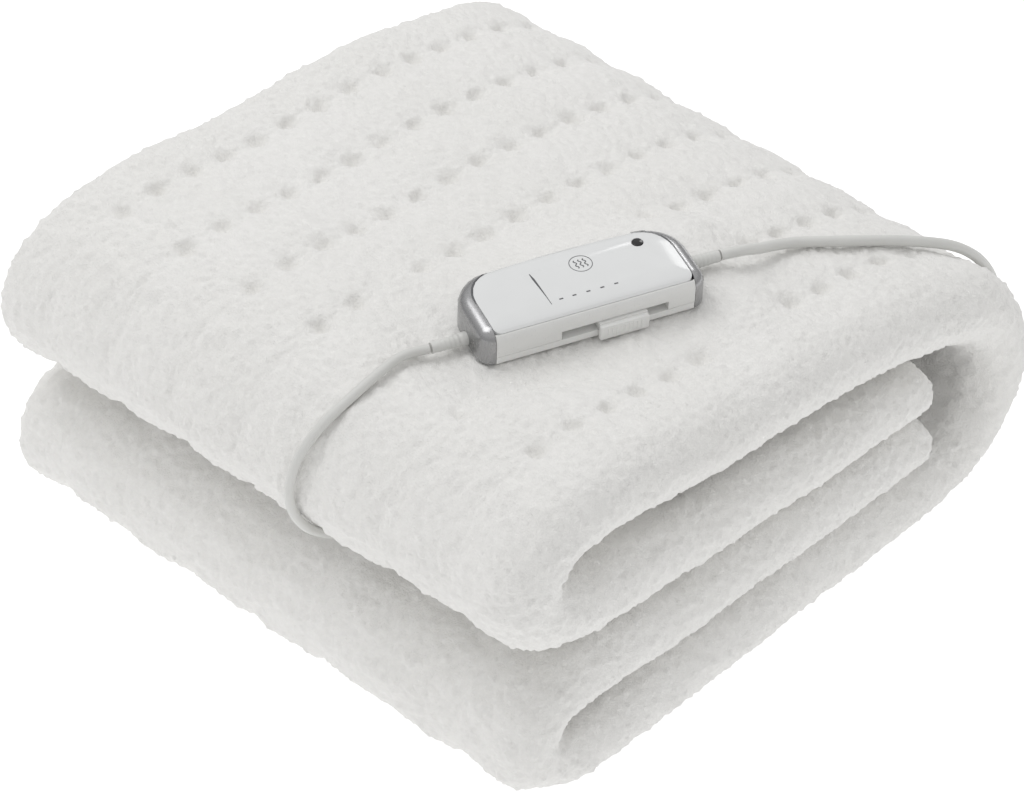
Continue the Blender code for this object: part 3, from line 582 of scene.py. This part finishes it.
# A row of plain ribs, centred on its own origin.
rib_row = bpy.data.node_groups.new("thumb rib row", "GeometryNodeTree")
for name, kind in (("Count", "NodeSocketInt"), ("Pitch", "NodeSocketFloat"),
                   ("Rib Size", "NodeSocketVector"), ("Material", "NodeSocketMaterial")):
    rib_row.interface.new_socket(name, in_out="INPUT", socket_type=kind)
rib_row.interface.new_socket("Geometry", in_out="OUTPUT", socket_type="NodeSocketGeometry")
asked = add(rib_row, "NodeGroupInput").outputs
steps = add(rib_row, "ShaderNodeMath", {"operation": "SUBTRACT", 1: 1.0}, {0: asked["Count"]})
span = add(rib_row, "ShaderNodeMath", {"operation": "MULTIPLY"}, {0: steps.outputs[0], 1: asked["Pitch"]})
start = add(rib_row, "ShaderNodeMath", {"operation": "MULTIPLY", 1: -0.5}, {0: span.outputs[0]})
row = add(rib_row, "GeometryNodeMeshLine", {"mode": "OFFSET"},
          {"Count": asked["Count"],
           "Start Location": add(rib_row, "ShaderNodeCombineXYZ", {}, {"X": start.outputs[0]}).outputs[0],
           "Offset": add(rib_row, "ShaderNodeCombineXYZ", {}, {"X": asked["Pitch"]}).outputs[0]})
rib = add(rib_row, "GeometryNodeMeshCube", {}, {"Size": asked["Rib Size"]})
copies = add(rib_row, "GeometryNodeInstanceOnPoints", {},
             {"Points": row.outputs[0], "Instance": rib.outputs[0]})
solid = add(rib_row, "GeometryNodeRealizeInstances", {}, {"Geometry": copies.outputs[0]})
skinned = add(rib_row, "GeometryNodeSetMaterial", {},
              {"Geometry": solid.outputs[0], "Material": asked["Material"]})
add(rib_row, "NodeGroupOutput", {}, {"Geometry": skinned.outputs[0]})

grip = mesh_piece("thumb_ribs", [], [], switch_abs)
wanted = {"Count": RIB_COUNT, "Pitch": RIB_PITCH, "Rib Size": RIB_SIZE, "Material": switch_abs}
modifier = grip.modifiers.new("ribs", "NODES")
modifier.node_group = rib_row
for item in rib_row.interface.items_tree:
    if item.in_out == "INPUT":
        modifier[item.identifier] = wanted[item.name]
keep_modified(grip)
thumb_middle = ((THUMB_LEFT + THUMB_RIGHT) / 2, THUMB_FACE, THUMB_MIDDLE)
grip.data.transform(from_handset @ Matrix.Translation(thumb_middle))
finish_piece(round_edges(grip, RIB_EDGE), "switch", body="slider")


# ---------------------------------------------------------------- the fleece
# Polyester sherpa fleece on both sides of the quilted pad, folded.  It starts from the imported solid's
# folds, drawn finely where it shows.  The stitched pits are pulled in, and the pile stands off
# everything that lies on it.
FINE_EDGE = 0.0029             # on the sides that face the room most
PLAIN_EDGE = 0.0042
COARSE_EDGE = 0.014
ROW_FIRST = -0.1594
ROW_SPACING = 0.0515
ROW_COUNT = 7
PIT_DRAW = 0.0054              # how much deeper a stitch pulls than the solid's own pit
PIT_WIDTH = 0.0046
SWELL = 0.0005                 # the padding between two rows of stitches
CHANNEL_FILL = 0.0014          # the fronts of both bulges are plump, so their rows of stitches drown
PIT_FILL = 0.0042
PIT_FILL_WIDTH = 0.0085
LUMP_SIZE = 0.050
LUMP_HEIGHT = 0.0016
CURD_SIZE = 0.0052             # the pile's clumps
CURD_HEIGHT = 0.0018
TUFT_SIZE = 0.0110
TUFT_HEIGHT = 0.0009
CRUMB_SIZE = 0.0034
CRUMB_HEIGHT = 0.0010
CLEAR_OF_HARDWARE = 0.0004
SLIVER = 0.0006                # shorter edges than this are closed up, or they would fold over
ROW_TOLERANCE = 0.0004
PIT_DEPTH = 0.0018             # the least that counts as one of the solid's own pits
PIT_REACH = 0.004              # its edges across the row are longer than this
BED_CLEARANCE = 0.0008         # the underside is pressed flat, so it stays as it is
SIDE_START = 0.176             # |x| beyond which a side of the stack shows
CUT_ROUNDS = 8
SMOOTH_ROUNDS = 14
CURD_CAP = 0.6                 # a voronoi cell's wall stops rising here, so its top is flat
FRONT_START = -0.150           # the bulges' fronts begin here
FRONT_BLEND = 0.030
LOWER_BULGE = 0.095            # above this height is the upper bulge, which is a little less plump
UPPER_PLUMP = 0.65
ROW_REACH = 0.185              # |x| that the rows of stitches keep within
ROW_NARROW = 3.2               # how fast the filled channel falls off from its row
PRESSED_GAP = 0.004            # under a lead or the handset, no stitch is drawn within this
PRESSED_BLEND = 0.006
HARDWARE_FAR = 0.05


def outside(point):
    """Whether a point of the blanket can be seen with the stack folded."""
    top = 0.150 + 0.05 * max(0.0, -point.y) - 0.10 * max(0.0, point.y - 0.02)
    return abs(point.x) > SIDE_START or point.y < -0.165 or point.y > 0.150 or point.z > top


def edge_limit(edge):
    """How long an edge may stay before it is cut in two."""
    middle = (edge.verts[0].co + edge.verts[1].co) / 2
    if not outside(middle):
        return COARSE_EDGE
    return PLAIN_EDGE if middle.x < -0.19 or middle.y > 0.16 or middle.z < 0.004 else FINE_EDGE


# Sherpa fleece: matt, warm white, with a soft halo at grazing angles.  Its clumps,
# about 4 mm across, differ slightly in tone, and the bump is the ends of the fibres.
sherpa, tree, shader = material_of("sherpa fleece")
place = add(tree, "ShaderNodeTexCoord").outputs["Object"]
wide = add(tree, "ShaderNodeTexNoise", {"Scale": 14.0, "Detail": 3.0}, {"Vector": place})
clumps = add(tree, "ShaderNodeTexNoise", {"Scale": 260.0, "Detail": 3.0, "Roughness": 0.6}, {"Vector": place})
fibres = add(tree, "ShaderNodeTexNoise", {"Scale": 900.0, "Detail": 2.0}, {"Vector": place})
warm = add(tree, "ShaderNodeMix", {"data_type": "RGBA", 6: linear("E8E7E4"), 7: linear("EEEDEB")},
           {0: wide.outputs["Fac"]})
clump_tone = add(tree, "ShaderNodeMapRange",
                 {"From Min": 0.3, "From Max": 0.7, "To Min": 0.96, "To Max": 1.02},
                 {"Value": clumps.outputs["Fac"]})
toned = add(tree, "ShaderNodeHueSaturation", {},
            {"Color": warm.outputs[2], "Value": clump_tone.outputs["Result"]})
tree.links.new(toned.outputs["Color"], shader.inputs["Base Color"])
pile_height = add(tree, "ShaderNodeMath", {"operation": "MULTIPLY_ADD", 1: 0.6},
                  {0: clumps.outputs["Fac"], 2: fibres.outputs["Fac"]})
fluff = add(tree, "ShaderNodeBump", {"Strength": 0.60, "Distance": 0.0010},
            {"Height": pile_height.outputs[0]})
tree.links.new(fluff.outputs["Normal"], shader.inputs["Normal"])
shader.inputs["Roughness"].default_value = 0.95
shader.inputs["Specular IOR Level"].default_value = 0.1
shader.inputs["Sheen Weight"].default_value = 0.25
shader.inputs["Sheen Roughness"].default_value = 0.6

shape = bmesh.new()
shape.from_mesh(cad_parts["blanket"].data)
bmesh.ops.remove_doubles(shape, verts=shape.verts, dist=SAME_POINT)
bmesh.ops.recalc_face_normals(shape, faces=shape.faces)
shape.normal_update()
rows = [ROW_FIRST + k * ROW_SPACING for k in range(ROW_COUNT)]
pits = []
for v in shape.verts:
    if min(abs(v.co.x - place) for place in rows) > ROW_TOLERANCE or not outside(v.co):
        continue
    near = [e.other_vert(v).co for e in v.link_edges
            if abs(e.other_vert(v).co.x - v.co.x) > PIT_REACH]
    if near and (sum(near, Vector()) / len(near) - v.co).dot(v.normal) > PIT_DEPTH:
        pits.append(v.co.copy())
for _ in range(CUT_ROUNDS):
    long_edges = [e for e in shape.edges if e.calc_length() > FINE_EDGE and e.calc_length() > edge_limit(e)]
    if not long_edges:
        break
    bmesh.ops.subdivide_edges(shape, edges=long_edges, cuts=1)
    bmesh.ops.triangulate(shape, faces=[f for f in shape.faces if len(f.verts) > 3])
bmesh.ops.dissolve_degenerate(shape, dist=SLIVER, edges=shape.edges[:])
bmesh.ops.triangulate(shape, faces=[f for f in shape.faces if len(f.verts) > 3])
free = [v for v in shape.verts if v.co.z > BED_CLEARANCE and outside(v.co)]
for _ in range(SMOOTH_ROUNDS):
    bmesh.ops.smooth_vert(shape, verts=free, factor=0.5, use_axis_x=True, use_axis_y=True, use_axis_z=True)
shape.normal_update()

hardware = bmesh.new()
for piece in (base, cover, *caps):
    hardware.from_mesh(piece.data)
hard_tree = BVHTree.FromBMesh(hardware)
hardware.free()
lead_tree = kdtree.KDTree(len(mains_points) + len(blanket_points))
for number, point in enumerate(mains_points + blanket_points):
    lead_tree.insert(point, number)
lead_tree.balance()
pit_tree = kdtree.KDTree(len(pits))
for number, point in enumerate(pits):
    pit_tree.insert(point, number)
pit_tree.balance()


def room_over(point):
    """The clear distance from a point to the handset or a lead."""
    hard = hard_tree.find_nearest(point, HARDWARE_FAR)[3]
    lead = lead_tree.find(point)[2] - MAINS_DIAMETER / 2
    return min(lead, hard if hard is not None else HARDWARE_FAR)


for v in shape.verts:
    if not outside(v.co) or v.co.z < BED_CLEARANCE:
        continue
    lift = LUMP_HEIGHT * noise.noise(v.co / LUMP_SIZE)
    near, next_near = noise.voronoi(v.co / CURD_SIZE)[0][:2]
    lift += CURD_HEIGHT * (min(next_near - near, CURD_CAP) - CURD_CAP / 2)
    lift += TUFT_HEIGHT * noise.noise(v.co / TUFT_SIZE)
    lift += CRUMB_HEIGHT * noise.noise(v.co / CRUMB_SIZE)
    to_pit = pit_tree.find(v.co)[2]
    room = room_over(v.co)
    drowned = eased((FRONT_START - v.co.y) / FRONT_BLEND) * (1.0 if v.co.z < LOWER_BULGE else UPPER_PLUMP)
    if abs(v.co.x) < ROW_REACH:
        row_number = (v.co.x - ROW_FIRST) / ROW_SPACING
        from_row = abs(row_number - round(row_number))
        lift += SWELL * math.sin(math.pi * from_row) * (1 - drowned)
        lift += CHANNEL_FILL * drowned * (1 - eased(from_row * ROW_NARROW))
        lift += PIT_FILL * drowned * math.exp(-(to_pit / PIT_FILL_WIDTH) ** 2)
        drawn = (1 - drowned) * eased((room - PRESSED_GAP) / PRESSED_BLEND)
        lift -= PIT_DRAW * drawn * math.exp(-(to_pit / PIT_WIDTH) ** 2)
    lift = min(lift, room - CLEAR_OF_HARDWARE)
    v.co += v.normal * lift
fleece_mesh = bpy.data.meshes.new("fleece_folds")
shape.to_mesh(fleece_mesh)
shape.free()
fleece_mesh.materials.append(sherpa)
fleece_mesh.shade_smooth()
fleece = bpy.data.objects.new("fleece_folds", fleece_mesh)
scene.collection.objects.link(fleece)
finish_piece(fleece, "fleece", "blanket")
